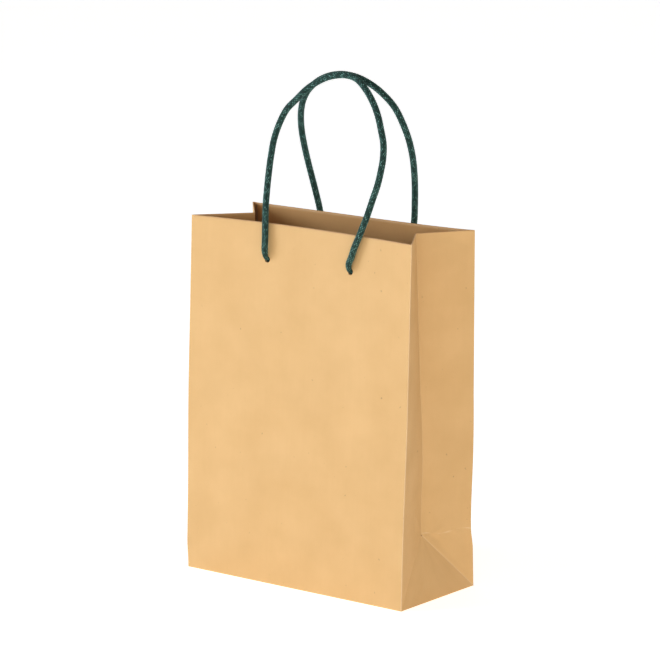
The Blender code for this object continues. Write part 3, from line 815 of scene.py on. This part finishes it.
class Nodes:
    """Short calls that add nodes to one material."""

    def __init__(self, name):
        self.material = bpy.data.materials.new(name)
        self.material.use_nodes = True
        self.tree = self.material.node_tree
        self.shader = self.tree.nodes["Principled BSDF"]

    def link(self, source, target):
        self.tree.links.new(source, target)

    def node(self, kind, inputs, **settings):
        node = self.tree.nodes.new(kind)
        for name, value in settings.items():
            setattr(node, name, value)
        for name, value in inputs.items():
            if isinstance(value, bpy.types.NodeSocket):
                self.link(value, node.inputs[name])
            else:
                node.inputs[name].default_value = value
        return node

    def coordinates(self, scale):
        source = self.node("ShaderNodeUVMap", {}, uv_map="paper")
        mapped = self.node("ShaderNodeMapping", {"Vector": source.outputs["UV"], "Scale": scale})
        return mapped.outputs["Vector"]

    def noise(self, scale, detail=3.0, stretch=(1, 1, 1), roughness=0.5):
        inputs = {"Vector": self.coordinates(stretch), "Scale": scale, "Detail": detail,
                  "Roughness": roughness}
        return self.node("ShaderNodeTexNoise", inputs).outputs["Fac"]

    def attribute(self, name):
        return self.node("ShaderNodeAttribute", {}, attribute_name=name).outputs["Fac"]

    def remap(self, value, low, high, to_low, to_high):
        inputs = {"Value": value, "From Min": low, "From Max": high, "To Min": to_low,
                  "To Max": to_high}
        return self.node("ShaderNodeMapRange", inputs).outputs["Result"]

    def mix(self, factor, first, second, blend="MIX"):
        node = self.tree.nodes.new("ShaderNodeMix")
        node.data_type = "RGBA"
        node.blend_type = blend
        for index, value in ((0, factor), (6, first), (7, second)):
            if isinstance(value, bpy.types.NodeSocket):
                self.link(value, node.inputs[index])
            else:
                node.inputs[index].default_value = value if index == 0 else (*value, 1.0)
        return node.outputs[2]

    def bump(self, height, distance, strength=1.0, normal=None):
        inputs = {"Height": height, "Distance": distance, "Strength": strength}
        if normal:
            inputs["Normal"] = normal
        return self.node("ShaderNodeBump", inputs).outputs["Normal"]

    def finish(self, colour, roughness, normal, specular):
        self.link(colour, self.shader.inputs["Base Color"])
        self.link(roughness, self.shader.inputs["Roughness"])
        self.link(normal, self.shader.inputs["Normal"])
        self.shader.inputs["Specular IOR Level"].default_value = specular
        return self.material


def kraft_paper(name, colour, light, dark):
    """Smooth kraft: cloudy tone, faint upright streaks, short fibres and a few dark specks."""
    nodes = Nodes(name)
    cloud = nodes.remap(nodes.noise(38, 4), 0.3, 0.7, 0.0, 1.0)
    tone = nodes.mix(cloud, dark, light)
    tone = nodes.mix(0.55, tone, colour)
    streaks = nodes.noise(420, 3, (1, 0.06, 1))
    tone = nodes.mix(nodes.remap(streaks, 0.35, 0.7, 0.0, 0.10), tone, dark)
    fibres = nodes.noise(1500, 2, (1, 0.35, 1))
    tone = nodes.mix(nodes.remap(fibres, 0.5, 0.8, 0.0, 0.16), tone, light)
    specks = nodes.noise(330, 1.0, (1, 0.8, 1))
    tone = nodes.mix(nodes.remap(specks, 0.76, 0.82, 0.0, 0.35), tone, (0.16, 0.085, 0.035))
    # Painted highlight, partly wear: creases and the rim are lightened towards a pale kraft colour
    crease = nodes.remap(nodes.attribute("crease"), 0.1, 1.0, 0.0, 0.6)
    tone = nodes.mix(crease, tone, (0.86, 0.66, 0.43))
    tone = nodes.mix(nodes.remap(nodes.attribute("cut"), 0.4, 0.6, 0.0, 0.7), tone,
                     (0.80, 0.60, 0.38))
    # Painted shade: faces that look into the bag are made darker and browner
    tone = nodes.mix(nodes.attribute("inside"), tone, (0.96, 0.86, 0.77), "MULTIPLY")
    rough = nodes.remap(fibres, 0.3, 0.7, 0.55, 0.70)
    cockle = nodes.bump(nodes.noise(110, 3), 0.00010)
    normal = nodes.bump(fibres, 0.00002, normal=cockle)
    return nodes.finish(tone, rough, normal, 0.25)


def grey_card(name, colour, dark):
    """Pressed board: flecked, with a matt face."""
    nodes = Nodes(name)
    source = nodes.node("ShaderNodeTexCoord", {}).outputs["Object"]

    def board_noise(scale, detail):
        inputs = {"Vector": source, "Scale": scale, "Detail": detail}
        return nodes.node("ShaderNodeTexNoise", inputs).outputs["Fac"]

    fleck = board_noise(700, 3)
    tone = nodes.mix(nodes.remap(board_noise(60, 4), 0.3, 0.7, 0.0, 1.0), colour, dark)
    tone = nodes.mix(nodes.remap(fleck, 0.62, 0.75, 0.0, 0.5), tone, (0.12, 0.08, 0.05))
    rough = nodes.remap(fleck, 0.3, 0.7, 0.75, 0.90)
    return nodes.finish(tone, rough, nodes.bump(fleck, 0.00004), 0.2)


def green_braid(name):
    """Dark green plaited yarn: teal crowns, gaps darkened to black-green as painted shade, painted
    glints on some crown tips, and fine filaments.
    """
    nodes = Nodes(name)
    relief = nodes.attribute("relief")
    strand = nodes.attribute("strand")
    # Painted shade: the deeper the surface between the crowns, the nearer it is to black-green
    tone = nodes.mix(nodes.remap(relief, 0.62, 0.86, 0.0, 1.0), (0.0008, 0.0040, 0.0032),
                     (0.011, 0.080, 0.052))
    fuzz = nodes.noise(2600, 2)
    tint = nodes.attribute("tint")
    tone = nodes.mix(nodes.remap(tint, 0.0, 0.40, 0.70, 0.0), tone, (0.003, 0.020, 0.013))
    # Painted glints: the tops of some crowns, picked by chance, are lightened to pale teal
    pale = nodes.remap(tint, 0.40, 0.95, 0.0, 1.0)
    painted_glint = nodes.remap(relief, 0.72, 0.90, 0.0, 1.0)
    painted_glint = nodes.node("ShaderNodeMath", {0: painted_glint, 1: pale}, operation="MULTIPLY").outputs[0]
    tone = nodes.mix(painted_glint, tone, (0.19, 0.38, 0.31))
    tone = nodes.mix(nodes.remap(fuzz, 0.60, 0.78, 0.0, 0.3), tone, (0.10, 0.26, 0.20))
    filament = nodes.node("ShaderNodeMath", {0: strand, 1: 44.0}, operation="MULTIPLY")
    filament = nodes.node("ShaderNodeMath", {0: filament.outputs[0]}, operation="SINE")
    rough = nodes.remap(fuzz, 0.3, 0.7, 0.42, 0.62)
    fine = nodes.bump(filament.outputs[0], 0.00003)
    normal = nodes.bump(fuzz, 0.00004, normal=fine)
    nodes.shader.inputs["Sheen Weight"].default_value = 0.25
    nodes.shader.inputs["Sheen Roughness"].default_value = 0.4
    nodes.shader.inputs["Sheen Tint"].default_value = (0.45, 0.85, 0.75, 1.0)
    return nodes.finish(tone, rough, normal, 0.4)


# ---------------------------------------------------------------- assembly

def build_paper():
    outer = kraft_paper("kraft_outer", (0.685, 0.430, 0.190), (0.725, 0.465, 0.214),
                        (0.625, 0.385, 0.161))
    for side in (FRONT, BACK):
        name = SIDE_NAME[side]
        panel = build_panel(side, outer)
        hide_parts(f"{name}_panel", f"{name}_hem")
        if side == BACK:
            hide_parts("back_lower_panel")
        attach(panel, name)
    for hand in (LEFT, RIGHT):
        for side in (FRONT, BACK):
            title = f"{HAND_NAME[hand]}_gusset_{SIDE_NAME[side]}"
            half = build_gusset_half(hand, side, outer)
            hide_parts(title, f"{title}_hem")
            if side == BACK:
                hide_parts(f"{title}_corner")
            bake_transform(half)
        triangle = build_triangle(hand, outer)
        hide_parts(f"{HAND_NAME[hand]}_base_triangle")
        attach(triangle, f"{HAND_NAME[hand]}_triangle")
    build_bottom(outer)
    seam = build_seam("side_seam_sheet", FOLD, HEM_FOOT + 6 * MM, PAPER + 0.3 * MM, outer)
    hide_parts("side_seam_flap")
    hem_seam = build_seam("hem_seam_sheet", HEM_FOOT, HEIGHT - 1.2 * MM, HEM_OVER_CARD, outer)
    for piece in (seam, hem_seam):
        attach(piece, "back")


def build_bottom(material):
    for side in (FRONT, BACK):
        name = f"bottom_{SIDE_NAME[side]}_flap"
        edge = side * HALF_DEPTH
        far = side * (HALF_DEPTH - FLAP)
        narrow = HALF_WIDTH - FLAP
        flap = build_flap(f"{name}_sheet", [(-HALF_WIDTH, edge), (HALF_WIDTH, edge)],
                          [(-narrow, far), (narrow, far)], 0 if side == FRONT else 0.5 * MM,
                          (0, -side), material)
        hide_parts(name)
        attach(flap, "base")
    for hand in (LEFT, RIGHT):
        name = f"{HAND_NAME[hand]}_bottom_tuck"
        reach = HALF_DEPTH - 0.9 * MM
        edge = hand * HALF_WIDTH
        far = hand * (HALF_WIDTH - TUCK)
        tuck = build_flap(f"{name}_sheet", [(edge, -reach), (edge, reach)],
                          [(far, TUCK - reach), (far, reach - TUCK)], 0.0, (-hand, 0), material)
        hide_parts(name)
        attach(tuck, "base")


def build_boards():
    """The cards in the top, and the CAD's own base board with its finish."""
    card = grey_card("grey_card", (0.42, 0.30, 0.19), (0.33, 0.23, 0.14))
    for side in (FRONT, BACK):
        name = SIDE_NAME[side]
        piece = build_card(side, card)
        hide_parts(f"{name}_card")
        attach(piece, name)
    for slot in frame["nodes"]["base_board"].material_slots:
        slot.material = card


def add_area(name, offset, size, power, colour):
    """A round lamp at an offset from the middle of the bag, turned towards it."""
    light = bpy.data.lights.new(name, "AREA")
    light.shape = "DISK"
    light.size = size
    light.energy = power
    light.color = colour
    lamp = bpy.data.objects.new(name, light)
    bpy.context.scene.collection.objects.link(lamp)
    lamp.location = CAMERA_TARGET + offset
    lamp.rotation_mode = "QUATERNION"
    lamp.rotation_quaternion = offset.to_track_quat("Z", "Y")


def light_surround():
    """A white surround. High up it is dimmer, and most of all at the near left."""
    world = bpy.data.worlds.new("studio")
    bpy.context.scene.world = world
    world.use_nodes = True
    tree = world.node_tree
    background = tree.nodes["Background"]
    background.inputs["Color"].default_value = (*SURROUND_COLOUR, 1.0)
    way = tree.nodes.new("ShaderNodeTexCoord").outputs["Generated"]

    def math(operation, first, second):
        node = tree.nodes.new("ShaderNodeMath")
        node.operation = operation
        for socket, value in zip(node.inputs, (first, second)):
            if isinstance(value, bpy.types.NodeSocket):
                tree.links.new(value, socket)
            else:
                socket.default_value = value
        return node.outputs[0]

    def ramp(value, low, high, to_low, to_high):
        node = tree.nodes.new("ShaderNodeMapRange")
        node.interpolation_type = "SMOOTHSTEP"
        tree.links.new(value, node.inputs["Value"])
        for name, number in (("From Min", low), ("From Max", high), ("To Min", to_low),
                             ("To Max", to_high)):
            node.inputs[name].default_value = number
        return node.outputs[0]

    parts = tree.nodes.new("ShaderNodeSeparateXYZ")
    tree.links.new(way, parts.inputs[0])
    far_side = math("ADD", math("MULTIPLY", parts.outputs["X"], FAR_WAY[0]),
                    math("MULTIPLY", parts.outputs["Y"], FAR_WAY[1]))
    high = ramp(parts.outputs["Z"], 0.22, 0.45, 0.0, 1.0)
    loss = ramp(far_side, -0.4, 0.8, NEAR_SIDE_LOSS, FAR_SIDE_LOSS)
    strength = math("SUBTRACT", SURROUND, math("MULTIPLY", high, loss))
    tree.links.new(strength, background.inputs["Strength"])


def add_studio():
    """A pale floor that runs into a white surround, with a soft lamp on each side."""
    settings = bpy.context.scene.view_settings
    settings.view_transform = "Standard"
    settings.gamma = CONTRAST_GAMMA
    light_surround()
    add_area("key", direction(KEY_AZIMUTH, KEY_ELEVATION) * KEY_DISTANCE, KEY_SIZE,
             KEY_POWER, KEY_COLOUR)
    add_area("fill", direction(FILL_AZIMUTH, FILL_ELEVATION) * FILL_DISTANCE, FILL_SIZE,
             FILL_POWER, FILL_COLOUR)
    points = np.array([(-1, -1, 0), (1, -1, 0), (1, 1, 0), (-1, 1, 0)]) * FLOOR_SIZE
    nodes = Nodes("floor_paint")
    grain = nodes.noise(30, 2)
    tone = nodes.mix(grain, (0.93, 0.93, 0.93), (0.95, 0.95, 0.95))
    rough = nodes.remap(grain, 0.3, 0.7, 0.6, 0.7)
    material = nodes.finish(tone, rough, nodes.bump(grain, 0.0001), 0.1)
    nodes.shader.inputs["Emission Color"].default_value = (1.0, 1.0, 1.0, 1.0)
    nodes.shader.inputs["Emission Strength"].default_value = FLOOR_GLOW
    floor = new_mesh("floor", points - np.array([0, 0, FLOOR_DROP]), [(0, 1, 2, 3)],
                     points[:, :2], {}, material)


def main():
    add_camera()
    braid = green_braid("green_braid")
    for side in (FRONT, BACK):
        build_handle(side, braid)
        for number in (0, 1):
            build_knot(side, number, braid)
    build_paper()
    build_boards()
    add_studio()


main()
